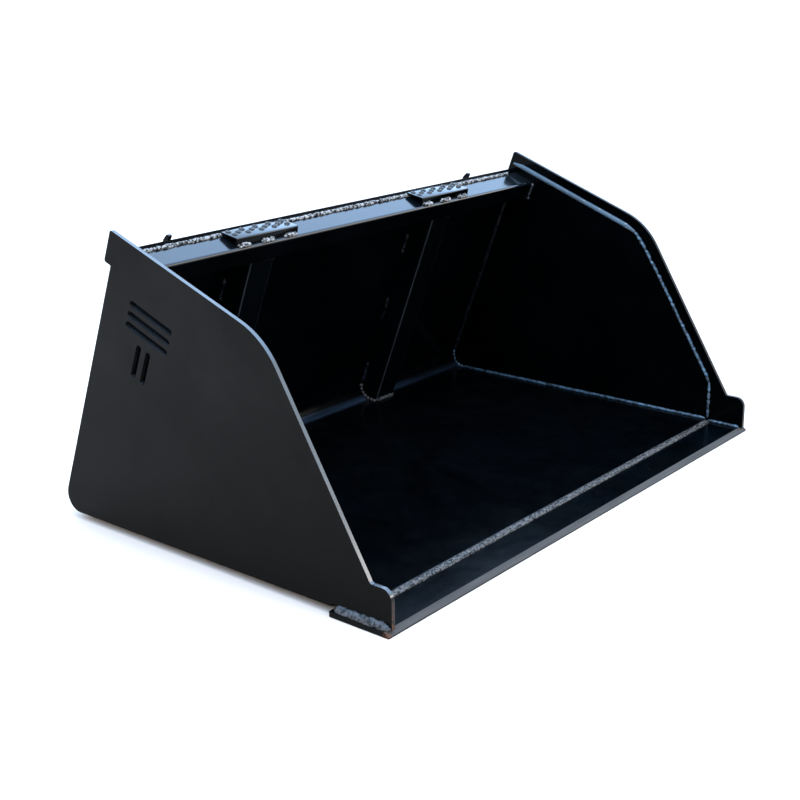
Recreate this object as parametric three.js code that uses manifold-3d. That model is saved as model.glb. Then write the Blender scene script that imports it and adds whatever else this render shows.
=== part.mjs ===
// Low-profile skid steer bucket with a universal quick-attach back. Millimetres, +Z up, the lip faces -Y.
// Outlines are drawn in the side plane (y, z), with y = 0 at the nose of the cutting edge.
// The back leans forward, so whatever is square to it is placed by (s, n): s runs up the back sheet
// from the heel, and n runs rearwards out of the back sheet's outer face.

import * as THREE from 'three';
import { mergeVertices } from 'three/addons/utils/BufferGeometryUtils.js';
import Module from 'manifold-3d';

const wasm = await Module();
wasm.setup();

const GAP = 0.3;
const BEND_SEGMENTS = 4;
const LUG_SEGMENTS = 14;

const EDGE = { width: 1524, depth: 152.4, thick: 12.7, nose: 3, bevel: 11 };
const HEEL = { y: 995, z: 16.5, tilt: THREE.MathUtils.degToRad(20.75) };
const SHEET = { thick: 6.35, front: 105, heelRadius: 43, top: 619.4 };
const SIDE = { outer: 750, thick: 9.5, front: 2, lipHeight: 95, lipDepth: 54.4, lipRadius: 24, heelRadius: 40 };
const KNEE = { y: 321, z: 537, radius: 190 };
const NOTCH = { from: 146, to: 157, top: 23, radius: 4 };
const TAB = { top: 723, bottom: 648, rear: 21.8, radius: 5 };
const LINER = { thick: 6.35, front: 106, corner: 125, top: 690, rear: 10 };
const TUBE = { front: -75, rear: 1.2, bottom: 619.9, top: 670.7, wall: 4.8, radius: 7 };
const HOOK = { thick: 9.5, top: 674.2, front: -5.9, reach: 31.5 };
const EAR = { outer: 565, thick: 9.5, foot: 96, rear: 46, deep: 68, top: 671.5, crest: 39 };
const PAD = { thick: 6.35, inner: 330, bottom: 182, top: 604 };
const LIP = { thick: 12.7, height: 170, depth: 66, slope: Math.PI / 6 };
const SLOT = { centre: 441.5, length: 72, width: 32, offset: 4 };
const GUSSET = { thick: 9.5, spread: 62, foot: 80, inset: 8, nose: 12 };
const RIB = { centre: 342, base: 103, crown: 79, front: -63, thick: 6.35, radius: 10 };
const TREAD = { centres: [-346, 328], length: 200, foot: -65.5, flange: 20, depth: 53, thick: 5 };
const TREAD_LEAN = THREE.MathUtils.degToRad(10.5);
const LUG = { foot: 6.5, crown: 4, height: 3, pitch: 43, rows: [23, 33.5, 44], counts: [5, 4, 5] };
const WEAR = { centres: [-600, -220, 220, 600], width: 76, front: 160, rear: 905, nose: 14, tip: 7.6 };
const CUTOUT = { width: 15, rows: [600, 575, 550], from: -205, to: -85, stem: [-130, -160], low: 450, high: 515 };

const PLATE_INNER = SIDE.outer - SIDE.thick;
const LINER_OUTER = PLATE_INNER - GAP;
const LINER_INNER = LINER_OUTER - LINER.thick;
const FLOOR_BOTTOM = EDGE.thick + GAP;
const FLOOR_TOP = FLOOR_BOTTOM + SHEET.thick;
const EAR_INNER = EAR.outer - EAR.thick;

const PAINT = { color: 0x17191c, roughness: 0.34, metalness: 0.05 };
const FLAT_PAINT = { color: 0x232427, roughness: 0.5, metalness: 0.05 };
const WORN_STEEL = { color: 0x5d6166, roughness: 0.45, metalness: 0.6 };

const bucket = new THREE.Group();
bucket.name = 'skid_steer_bucket';

// Side-plane point for a place on the back.
function back(s, n, radius = 0) {
  const sin = Math.sin(HEEL.tilt);
  const cos = Math.cos(HEEL.tilt);
  return [HEEL.y - s * sin + n * cos, HEEL.z + s * cos + n * sin, radius];
}

// Where a level line at height z meets the plane at n behind the back.
function backAtHeight(z, n, radius = 0) {
  const s = (z - HEEL.z - n * Math.sin(HEEL.tilt)) / Math.cos(HEEL.tilt);
  return back(s, n, radius);
}

// Closed outline through corners [a, b, radius]; a corner with a radius becomes a true arc.
function trace(path, corners) {
  const count = corners.length;
  corners.forEach(([a, b, radius = 0], i) => {
    const here = new THREE.Vector2(a, b);
    const before = corners[(i + count - 1) % count];
    const after = corners[(i + 1) % count];
    const toBefore = new THREE.Vector2(before[0] - a, before[1] - b).normalize();
    const toAfter = new THREE.Vector2(after[0] - a, after[1] - b).normalize();
    const half = Math.acos(toBefore.dot(toAfter)) / 2;
    const start = here.clone().addScaledVector(toBefore, radius / Math.tan(half));
    const join = i === 0 ? 'moveTo' : 'lineTo';
    path[join](start.x, start.y);
    if (radius > 0) roundCorner(path, here, toBefore, toAfter, radius, half, start);
  });
  path.closePath();
  return path;
}

function roundCorner(path, here, toBefore, toAfter, radius, half, start) {
  const middle = toBefore.clone().add(toAfter).normalize();
  const centre = here.clone().addScaledVector(middle, radius / Math.sin(half));
  const end = here.clone().addScaledVector(toAfter, radius / Math.tan(half));
  const from = start.sub(centre).angle();
  const to = end.sub(centre).angle();
  const clockwise = toBefore.cross(toAfter) > 0;
  path.absarc(centre.x, centre.y, radius, from, to, clockwise);
}

function outline(corners, holes = []) {
  const shape = trace(new THREE.Shape(), corners);
  holes.forEach((hole) => shape.holes.push(trace(new THREE.Path(), hole)));
  return shape;
}

function extrude(shape, depth, xAxis, yAxis, origin) {
  const geometry = new THREE.ExtrudeGeometry(shape, {
    depth, bevelEnabled: false, curveSegments: BEND_SEGMENTS,
  });
  const zAxis = xAxis.clone().cross(yAxis);
  const placing = new THREE.Matrix4().makeBasis(xAxis, yAxis, zAxis).setPosition(origin);
  return geometry.applyMatrix4(placing);
}

// Side-plane outline swept across the bucket from x0 to x1.
function acrossWidth(shape, x0, x1) {
  const y = new THREE.Vector3(0, 1, 0);
  const z = new THREE.Vector3(0, 0, 1);
  return extrude(shape, x1 - x0, y, z, new THREE.Vector3(x0, 0, 0));
}

// Outline in (x, n) swept up the back from s0 to s1.
function upTheBack(shape, s0, s1) {
  const x = new THREE.Vector3(1, 0, 0);
  const n = new THREE.Vector3(0, Math.cos(HEEL.tilt), Math.sin(HEEL.tilt));
  const [y, z] = back(s0, 0);
  return extrude(shape, s1 - s0, x, n, new THREE.Vector3(0, y, z));
}

function toSolid(geometry) {
  const bare = geometry.clone();
  bare.deleteAttribute('normal');
  bare.deleteAttribute('uv');
  const merged = mergeVertices(bare, 1e-4);
  const vertProperties = new Float32Array(merged.attributes.position.array);
  const triVerts = new Uint32Array(merged.index.array);
  return new wasm.Manifold(new wasm.Mesh({ numProp: 3, vertProperties, triVerts }));
}

function toGeometry(solid) {
  const mesh = solid.getMesh();
  const geometry = new THREE.BufferGeometry();
  geometry.setAttribute('position', new THREE.BufferAttribute(new Float32Array(mesh.vertProperties), 3));
  geometry.setIndex(new THREE.BufferAttribute(new Uint32Array(mesh.triVerts), 1));
  return geometry;
}

function add(name, geometry, finish) {
  const flat = geometry.index ? geometry.toNonIndexed() : geometry;
  flat.computeVertexNormals();
  const mesh = new THREE.Mesh(flat, new THREE.MeshStandardMaterial(finish));
  mesh.name = name;
  bucket.add(mesh);
}

// The same side-plane outline on both sides of the bucket, between |x| = inner and |x| = outer.
function addPair(name, shape, inner, outer, finish) {
  add(`${name}_left`, acrossWidth(shape, -outer, -inner), finish);
  add(`${name}_right`, acrossWidth(shape, inner, outer), finish);
}

function cuttingEdge() {
  const shape = outline([
    [0, 0], [EDGE.depth, 0], [EDGE.depth, EDGE.thick], [EDGE.bevel, EDGE.thick], [0, EDGE.nose],
  ]);
  add('cutting_edge', acrossWidth(shape, -EDGE.width / 2, EDGE.width / 2), WORN_STEEL);
}

// One sheet bent into the floor, the heel and the back.
function shell() {
  const shape = outline([
    [SHEET.front, FLOOR_BOTTOM],
    backAtHeight(FLOOR_BOTTOM, 0, SHEET.heelRadius),
    back(SHEET.top, 0),
    back(SHEET.top, -SHEET.thick),
    backAtHeight(FLOOR_TOP, -SHEET.thick, SHEET.heelRadius - SHEET.thick),
    [SHEET.front, FLOOR_TOP],
  ]);
  add('bucket_shell', acrossWidth(shape, -LINER_OUTER, LINER_OUTER), PAINT);
}

// Rounded slot from one (s, n) place to another on the side plate.
function plateSlot(s0, n0, s1, n1) {
  const half = CUTOUT.width / 2;
  const r = half * 0.98;
  return [back(s0 - half, n0 - half, r), back(s0 - half, n1 + half, r),
    back(s1 + half, n1 + half, r), back(s1 + half, n0 - half, r)];
}

function plateCutouts() {
  const bars = CUTOUT.rows.map((s) => plateSlot(s, CUTOUT.from, s, CUTOUT.to));
  const stems = CUTOUT.stem.map((n) => plateSlot(CUTOUT.low, n, CUTOUT.high, n));
  return [...bars, ...stems];
}

function sidePlates() {
  const shape = outline([
    [SIDE.front, FLOOR_BOTTOM],
    [NOTCH.from, FLOOR_BOTTOM],
    [NOTCH.from, NOTCH.top, NOTCH.radius],
    [NOTCH.to, NOTCH.top, NOTCH.radius],
    [NOTCH.to, HEEL.z],
    [HEEL.y, HEEL.z, SIDE.heelRadius],
    back(TAB.bottom, 0, 2),
    back(TAB.bottom, TAB.rear, TAB.radius),
    back(TAB.top, TAB.rear, TAB.radius),
    [KNEE.y, KNEE.z, KNEE.radius],
    [SIDE.lipDepth, SIDE.lipHeight, 6],
    [SIDE.front, SIDE.lipHeight, SIDE.lipRadius],
  ], plateCutouts());
  addPair('side_plate', shape, PLATE_INNER, SIDE.outer, FLAT_PAINT);
}

// Inner doubler plate, with an edge cut in short straight runs.
function sideLiners() {
  const shape = outline([
    [LINER.front, FLOOR_TOP + GAP],
    backAtHeight(FLOOR_TOP + GAP, -SHEET.thick - GAP, SHEET.heelRadius - SHEET.thick),
    back(TAB.bottom + GAP, -SHEET.thick - GAP),
    back(TAB.bottom + GAP, LINER.rear),
    back(LINER.top, LINER.rear),
    [353, 510],
    [317, 464],
    [300, 436],
    [277, 402],
    [LINER.front, LINER.corner],
  ]);
  addPair('side_liner', shape, LINER_INNER, LINER_OUTER, PAINT);
}

function rectangle(s0, s1, n0, n1, radius = 0) {
  return [back(s0, n0, radius), back(s0, n1, radius), back(s1, n1, radius), back(s1, n0, radius)];
}

function topTube() {
  const { bottom, top, front, rear, wall, radius } = TUBE;
  const bore = rectangle(bottom + wall, top - wall, front + wall, rear - wall, radius - wall);
  const shape = outline(rectangle(bottom, top, front, rear, radius), [bore]);
  const half = LINER_INNER - GAP;
  add('top_tube', acrossWidth(shape, -half, half), PAINT);
}

// Full-width plate that leans rearwards at 45 degrees off the tube's rear corner. The wedge along
// the top of the loader's coupler slides up behind it.
function hookPlate() {
  const { thick, top, front, reach } = HOOK;
  const step = thick / Math.SQRT2;
  const shape = outline([
    back(top, front),
    back(top - reach, front + reach, 2),
    back(top - reach + step, front + reach + step, 2),
    back(top + step, front + step, 1),
  ]);
  const half = LINER_INNER - GAP;
  add('hook_plate', acrossWidth(shape, -half, half), PAINT);
}

// End plates of the quick attach. Each one wraps round the hook plate's lower edge.
function mountEars() {
  const clear = 2 * GAP;
  const step = HOOK.thick / Math.SQRT2;
  const tubeRear = TUBE.rear + GAP;
  const hookFoot = HOOK.top - HOOK.reach;
  const hookRear = HOOK.front + HOOK.reach;
  const shape = outline([
    back(EAR.top, hookRear + GAP + 4, 2),
    back(hookFoot + step + clear, hookRear + step + clear),
    back(hookFoot - clear, hookRear),
    back(HOOK.top + HOOK.front - tubeRear - clear, tubeRear),
    back(TUBE.bottom - clear, tubeRear),
    back(TUBE.bottom - clear, GAP),
    back(EAR.foot, GAP),
    back(118, 54, 8),
    back(136, EAR.deep, 6),
    back(196, EAR.deep, 12),
    back(232, EAR.rear, 12),
    back(hookFoot + 12, EAR.rear, 8),
    back(EAR.top, EAR.crest, 6),
  ]);
  addPair('mount_ear', shape, EAR_INNER, EAR.outer, PAINT);
}

function mountPads() {
  const shape = outline(rectangle(PAD.bottom, PAD.top, GAP, GAP + PAD.thick));
  addPair('mount_pad', shape, PAD.inner, EAR_INNER - GAP, PAINT);
}

// Lower ledge of the quick attach: it slopes down to the rear and takes the two lock pins.
function lowerLip() {
  const drop = LIP.depth * Math.tan(LIP.slope);
  const thick = LIP.thick / Math.cos(LIP.slope);
  const shape = outline([
    back(LIP.height, GAP),
    back(LIP.height - thick, GAP),
    back(LIP.height - drop - thick, LIP.depth, 2),
    back(LIP.height - drop, LIP.depth, 2),
  ]);
  const half = EAR_INNER - GAP;
  let lip = toSolid(acrossWidth(shape, -half, half));
  const round = SLOT.width * 0.49;
  const near = (LIP.depth + GAP - SLOT.width) / 2 + SLOT.offset;
  [-SLOT.centre, SLOT.centre].forEach((x) => {
    const left = x - SLOT.length / 2;
    const right = x + SLOT.length / 2;
    const hole = outline([[left, near, round], [right, near, round],
      [right, near + SLOT.width, round], [left, near + SLOT.width, round]]);
    lip = lip.subtract(toSolid(upTheBack(hole, 0, 2 * LIP.height)));
  });
  add('lower_mount_lip', toGeometry(lip), PAINT);
}

function lipGussets() {
  const under = LIP.height - LIP.thick / Math.cos(LIP.slope) - 2 * GAP;
  const slope = Math.tan(LIP.slope);
  const reach = LIP.depth - GUSSET.inset;
  const shape = outline([
    back(under - GAP * slope, GAP),
    back(GUSSET.foot, GAP),
    back(GUSSET.foot, GAP + GUSSET.nose),
    back(under - reach * slope - GUSSET.nose, reach),
    back(under - reach * slope, reach),
  ]);
  ['outer', 'inner'].forEach((place, i) => {
    const inner = SLOT.centre + (i === 0 ? GUSSET.spread : -GUSSET.spread) - GUSSET.thick / 2;
    addPair(`lip_gusset_${place}`, shape, inner, inner + GUSSET.thick, PAINT);
  });
}

// Everything in front of the back sheet and above the floor, less a hair's clearance.
function insideOfShell() {
  const shape = outline([
    [SHEET.front, FLOOR_TOP + GAP],
    backAtHeight(FLOOR_TOP + GAP, -SHEET.thick - GAP, SHEET.heelRadius - SHEET.thick),
    back(SHEET.top, -SHEET.thick - GAP),
    back(SHEET.top, -SHEET.front),
  ]);
  return toSolid(acrossWidth(shape, -LINER_INNER, LINER_INNER));
}

// Folded channel that stiffens the back; its foot is cut to the heel and stands on the floor.
function backRibs() {
  const foot = -SHEET.thick - GAP;
  const base = RIB.base / 2;
  const crown = RIB.crown / 2;
  const skin = RIB.thick / Math.cos(Math.atan2(base - crown, foot - RIB.front));
  const inside = insideOfShell();
  [['left', -RIB.centre], ['right', RIB.centre]].forEach(([side, x]) => {
    const shape = outline([
      [x - base, foot],
      [x - crown, RIB.front, RIB.radius],
      [x + crown, RIB.front, RIB.radius],
      [x + base, foot],
      [x + base - skin, foot],
      [x + crown - skin, RIB.front + RIB.thick, RIB.radius - RIB.thick],
      [x - crown + skin, RIB.front + RIB.thick, RIB.radius - RIB.thick],
      [x - base + skin, foot],
    ]);
    const channel = toSolid(upTheBack(shape, 0, SHEET.top));
    add(`back_rib_${side}`, toGeometry(channel.intersect(inside)), PAINT);
  });
}

// Place on a grip step: a runs rearwards from its front fold, h stands off its top face.
function onTread(a, h, radius = 0) {
  const sin = Math.sin(TREAD_LEAN);
  const cos = Math.cos(TREAD_LEAN);
  const s = TUBE.top + GAP + (TREAD.flange + h) * cos - a * sin;
  const n = TREAD.foot + (TREAD.flange + h) * sin + a * cos;
  return back(s, n, radius);
}

// Truncated cone standing out of a tread.
function lug(x, a) {
  const profile = [[0, -1], [LUG.foot, -1], [LUG.foot, 0], [LUG.crown, LUG.height], [0, LUG.height]];
  const cone = new THREE.LatheGeometry(profile.map(([r, h]) => new THREE.Vector2(r, h)), LUG_SEGMENTS);
  const [y, z] = onTread(a, 0);
  const turn = Math.PI / 2 + HEEL.tilt - TREAD_LEAN;
  cone.applyMatrix4(new THREE.Matrix4().makeRotationX(turn).setPosition(x, y, z));
  return toSolid(cone);
}

// Plate folded square, leaning back off its front flange, with staggered grip lugs. The flange
// stands on the top tube.
function stepTreads() {
  const { flange, depth, thick, length } = TREAD;
  const shape = outline([
    onTread(0, -flange),
    onTread(0, 0, 1.5),
    onTread(depth, 0, 1),
    onTread(depth, -thick, 1),
    onTread(thick, -thick),
    back(TUBE.top + GAP, TREAD.foot + thick / Math.cos(TREAD_LEAN)),
  ]);
  ['left', 'right'].forEach((side, i) => {
    const x = TREAD.centres[i];
    let tread = toSolid(acrossWidth(shape, x - length / 2, x + length / 2));
    LUG.rows.forEach((a, row) => {
      for (let j = 0; j < LUG.counts[row]; j += 1) {
        tread = tread.add(lug(x + (j - (LUG.counts[row] - 1) / 2) * LUG.pitch, a));
      }
    });
    add(`step_tread_${side}`, toGeometry(tread), PAINT);
  });
}

// Flat bars under the floor, as thick as the cutting edge, so the bucket sits level.
function wearBars() {
  const shape = outline([
    [WEAR.front, 0], [WEAR.rear - WEAR.nose, 0], [WEAR.rear, WEAR.tip],
    [WEAR.rear, EDGE.thick], [WEAR.front, EDGE.thick],
  ]);
  WEAR.centres.forEach((x, i) => {
    const geometry = acrossWidth(shape, x - WEAR.width / 2, x + WEAR.width / 2);
    add(`wear_bar_${i + 1}`, geometry, WORN_STEEL);
  });
}

// Moves the origin to the middle of the bucket's footprint.
function centreDepth() {
  const box = new THREE.Box3().setFromObject(bucket);
  const middle = (box.min.y + box.max.y) / 2;
  bucket.children.forEach((mesh) => mesh.geometry.translate(0, -middle, 0));
}

cuttingEdge();
shell();
sidePlates();
sideLiners();
topTube();
hookPlate();
mountEars();
mountPads();
lowerLip();
lipGussets();
backRibs();
stepTreads();
wearBars();
centreDepth();

export default bucket;
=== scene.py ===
"""Skid steer bucket: painted plate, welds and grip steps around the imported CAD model.

Metres. The lip faces -Y. The back leans forward, so whatever is square to it is placed by (s, n):
s runs up the back sheet from the heel, n runs rearwards out of the sheet's outer face.
"""

import math
import random

import bmesh
import bpy
from mathutils import Matrix, Vector


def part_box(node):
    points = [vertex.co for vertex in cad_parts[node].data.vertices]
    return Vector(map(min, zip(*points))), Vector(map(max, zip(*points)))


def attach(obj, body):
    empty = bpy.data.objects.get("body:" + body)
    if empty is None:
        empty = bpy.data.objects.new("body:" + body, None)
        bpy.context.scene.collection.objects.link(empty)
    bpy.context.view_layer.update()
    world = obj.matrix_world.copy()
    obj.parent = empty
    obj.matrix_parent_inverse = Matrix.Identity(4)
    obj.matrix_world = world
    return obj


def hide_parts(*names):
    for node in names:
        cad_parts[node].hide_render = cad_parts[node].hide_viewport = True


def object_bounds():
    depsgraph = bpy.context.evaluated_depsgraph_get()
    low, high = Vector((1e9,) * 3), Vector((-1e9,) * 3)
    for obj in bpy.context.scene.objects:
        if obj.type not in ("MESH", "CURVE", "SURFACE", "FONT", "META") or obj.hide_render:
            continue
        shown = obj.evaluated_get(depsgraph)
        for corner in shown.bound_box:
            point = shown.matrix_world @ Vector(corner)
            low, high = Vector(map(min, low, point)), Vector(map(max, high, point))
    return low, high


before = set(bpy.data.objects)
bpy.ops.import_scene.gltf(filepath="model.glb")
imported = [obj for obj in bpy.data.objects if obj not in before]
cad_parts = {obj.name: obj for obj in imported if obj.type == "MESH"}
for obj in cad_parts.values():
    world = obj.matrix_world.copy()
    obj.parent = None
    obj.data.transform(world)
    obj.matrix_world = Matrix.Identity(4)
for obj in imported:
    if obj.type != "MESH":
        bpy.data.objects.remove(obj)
CAD_LOW, CAD_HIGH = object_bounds()

FRONT = CAD_LOW.y
TILT = math.radians(20.75)
HEEL_Y, HEEL_Z, HEEL_RADIUS, HEEL_MIDDLE = FRONT + 0.995, 0.0165, 0.043, 0.0586
BEVEL_REAR = FRONT + 0.0115
SIDE_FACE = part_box("side_plate_right")[1].x
PLATE_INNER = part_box("side_plate_right")[0].x
LINER_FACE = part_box("side_liner_right")[0].x
SHELL_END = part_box("bucket_shell")[1].x
EDGE_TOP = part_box("cutting_edge")[1].z
EDGE_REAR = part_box("cutting_edge")[1].y
SHELL_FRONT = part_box("bucket_shell")[0].y
SHEET = 0.00635
FLOOR_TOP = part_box("bucket_shell")[0].z + SHEET
TUBE_TOP, TUBE_BOTTOM = 0.6707, 0.6199
TUBE_FRONT, TUBE_REAR = -0.075, 0.0012
HOOK_TOP, HOOK_FRONT, HOOK_REACH = 0.6742, -0.0059, 0.0315
SHELL_TOP = 0.6194
RIB_X, RIB_BASE, RIB_CROWN, RIB_FRONT = 0.342, 0.0515, 0.0395, -0.063
TREAD_LENGTH, TREAD_FOOT, TREAD_FLANGE, TREAD_DEPTH, TREAD_THICK = 0.2, -0.0655, 0.02, 0.053, 0.005
TREAD_LEAN, TREAD_GAP = math.radians(10.5), 0.0003
EAR_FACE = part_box("mount_ear_right")[1].x
EAR_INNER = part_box("mount_ear_right")[0].x
PAD_INNER, PAD_OUTER, PAD_BOTTOM, PAD_TOP = 0.33, 0.55, 0.182, 0.604
SLOT_X, GUSSET_SPREAD, GUSSET_HALF = 0.4415, 0.062, 0.00475
LIP_FOOT, LIP_HALF = 0.17, 0.55

SIDES = ((-1, "left"), (1, "right"))
TREADS = {"left": -0.346, "right": 0.328}
WEAR_BARS = ["wear_bar_%d" % i for i in range(1, 5)]

ACROSS = Vector((1, 0, 0))
UP_BACK = Vector((0, -math.sin(TILT), math.cos(TILT)))
OUT_BACK = Vector((0, math.cos(TILT), math.sin(TILT)))
UP = Vector((0, 0, 1))
FORWARD = Vector((0, -1, 0))


def place(x, s, n):
    """The point s up the back sheet and n out of its outer face."""
    return Vector((x, HEEL_Y, HEEL_Z)) + UP_BACK * s + OUT_BACK * n


def on_tread(x, a, h):
    """a runs rearwards from a grip step's front fold, h stands off its top face."""
    sin, cos = math.sin(TREAD_LEAN), math.cos(TREAD_LEAN)
    s = TUBE_TOP + TREAD_GAP + (TREAD_FLANGE + h) * cos - a * sin
    return place(x, s, TREAD_FOOT + (TREAD_FLANGE + h) * sin + a * cos)


# ---------------------------------------------------------------- materials

class Graph:
    """A node tree with one Principled shader, and short calls for what the materials share."""

    def __init__(self, name):
        self.material = bpy.data.materials.new(name)
        self.material.use_nodes = True
        self.tree = self.material.node_tree
        self.shader = self.tree.nodes["Principled BSDF"]
        self.coords = self.tree.nodes.new("ShaderNodeTexCoord").outputs["Object"]

    def node(self, kind, **inputs):
        made = self.tree.nodes.new(kind)
        for key, value in inputs.items():
            self.set(made.inputs[key.replace("_", " ")], value)
        return made

    def set(self, socket, value):
        if isinstance(value, bpy.types.NodeSocket):
            self.tree.links.new(value, socket)
        else:
            socket.default_value = value

    def stretch(self, scale):
        mapping = self.node("ShaderNodeMapping", Vector=self.coords)
        mapping.inputs["Scale"].default_value = scale
        return mapping.outputs["Vector"]

    def noise(self, scale, detail=4.0, roughness=0.55, coords=None):
        made = self.node("ShaderNodeTexNoise", Vector=coords or self.coords, Scale=scale,
                         Detail=detail, Roughness=roughness)
        return made.outputs["Fac"]

    def ramp(self, value, low, high, start=0.0, end=1.0):
        """Runs from start to end as the value goes from low to high."""
        made = self.node("ShaderNodeMapRange", Value=value)
        made.inputs["From Min"].default_value = low
        made.inputs["From Max"].default_value = high
        made.inputs["To Min"].default_value = start
        made.inputs["To Max"].default_value = end
        return made.outputs["Result"]

    def math(self, operation, a, b=0.0):
        made = self.tree.nodes.new("ShaderNodeMath")
        made.operation = operation
        made.use_clamp = True
        self.set(made.inputs[0], a)
        self.set(made.inputs[1], b)
        return made.outputs["Value"]

    def mix(self, factor, a, b):
        made = self.tree.nodes.new("ShaderNodeMix")
        made.data_type = "RGBA"
        self.set(made.inputs["Factor"], factor)
        self.set(made.inputs["A"], a)
        self.set(made.inputs["B"], b)
        return made.outputs["Result"]

    def edges(self, radius):
        """1 on outer and inner corners, 0 on flat stretches."""
        bevel = self.node("ShaderNodeBevel", Radius=radius)
        bevel.samples = 4
        geometry = self.tree.nodes.new("ShaderNodeNewGeometry")
        dot = self.tree.nodes.new("ShaderNodeVectorMath")
        dot.operation = "DOT_PRODUCT"
        self.set(dot.inputs[0], bevel.outputs["Normal"])
        self.set(dot.inputs[1], geometry.outputs["Normal"])
        return self.ramp(dot.outputs["Value"], 0.98, 0.8)

    def chips(self, radius, scale, low, high):
        """Small bare patches along worn corners."""
        return self.math("MULTIPLY", self.edges(radius), self.ramp(self.noise(scale, 6, 0.7), low, high))

    def specks(self, scale, low, high, strength):
        """Fine dirt stuck in the paint."""
        return self.math("MULTIPLY", self.ramp(self.noise(scale, 2, 0.5), low, high), strength)

    def axis(self, name):
        """The place along X, Y or Z."""
        split = self.node("ShaderNodeSeparateXYZ", Vector=self.coords)
        return split.outputs[name]

    def facing(self, name):
        """How far the surface faces along X, Y or Z."""
        geometry = self.tree.nodes.new("ShaderNodeNewGeometry")
        split = self.node("ShaderNodeSeparateXYZ", Vector=geometry.outputs["Normal"])
        return split.outputs[name]

    def bumps(self, *layers):
        """Each layer is (height socket, strength, distance in metres)."""
        normal = None
        for height, strength, distance in layers:
            made = self.node("ShaderNodeBump", Height=height, Strength=strength, Distance=distance)
            if normal:
                self.set(made.inputs["Normal"], normal)
            normal = made.outputs["Normal"]
        self.set(self.shader.inputs["Normal"], normal)

    def out(self, **inputs):
        for key, value in inputs.items():
            self.set(self.shader.inputs[key.replace("_", " ")], value)
        return self.material


def grey(value, tint=0.0):
    """A grey that leans to blue, or to brown where tint is negative."""
    return (value * (1 - tint), value, value * (1 + tint), 1)


STEEL = (0.27, 0.265, 0.26, 1)
RUST = (0.16, 0.065, 0.025, 1)
RUST_DARK = (0.07, 0.028, 0.014, 1)


def rust_colour(g):
    return g.mix(g.noise(260, 5), RUST_DARK, RUST)


def gloss_paint(name, dark, light, rough, wear, dusty, level, coat):
    """Sprayed enamel: faint dust, orange peel, a slow plate ripple, chips along worn corners."""
    g = Graph(name)
    mottle = g.ramp(g.noise(7, 6, 0.6), 0.35, 0.7)
    dust = g.math("MULTIPLY", g.ramp(g.facing("Z"), 0.2, 1.0), g.ramp(g.noise(18, 7, 0.65), 0.4, 0.75))
    dust = g.math("MULTIPLY", dust, dusty)
    specks = g.specks(330, 0.7, 0.76, dusty * 3)
    paint = g.mix(mottle, dark, light)
    paint = g.mix(g.math("MAXIMUM", dust, specks), paint, grey(0.05, 0.06))
    chips = g.math("MULTIPLY", g.chips(0.0022, 150, 0.62, 0.68), wear)
    colour = g.mix(chips, paint, g.mix(g.ramp(g.noise(40, 3), 0.45, 0.6), STEEL, rust_colour(g)))
    shine = g.math("ADD", g.ramp(g.noise(22, 6, 0.6), 0.3, 0.75, rough, rough + 0.08), dust)
    shine = g.math("ADD", shine, g.math("MULTIPLY", chips, 0.25))
    g.bumps((g.noise(2.6, 2), 0.25, 0.008), (g.noise(430, 2), 0.08, 0.0004),
            (g.noise(90, 5, 0.7), 0.05, 0.0006), (chips, 0.25, -0.0003))
    return g.out(Base_Color=colour, Roughness=shine, Metallic=g.math("MULTIPLY", chips, 0.4),
                 Specular_IOR_Level=level, Coat_Weight=coat, Coat_Roughness=0.07)


def weld_paint(name, dark, pale, low, high, grain_scale, level, coat):
    """Paint over weld metal: fine grained, dark in the valleys, pale on the crests where the paint is thin
    and where a painted highlight is laid on.
    """
    g = Graph(name)
    grain = g.noise(grain_scale, 6, 0.7)
    # Painted highlight: the pale crest colour follows the same grain as the bumps.
    crest = g.ramp(grain, low, high)
    colour = g.mix(crest, dark, pale)
    spots = g.math("MULTIPLY", g.ramp(g.noise(60, 4), 0.64, 0.72), 0.3)
    colour = g.mix(spots, colour, rust_colour(g))
    g.bumps((grain, 0.7, 0.001), (g.noise(900, 3), 0.25, 0.0003))
    return g.out(Base_Color=colour, Metallic=0.1, Roughness=g.ramp(g.noise(180, 4), 0.3, 0.7, 0.2, 0.42),
                 Specular_IOR_Level=level, Coat_Weight=coat, Coat_Roughness=0.12)


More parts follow.
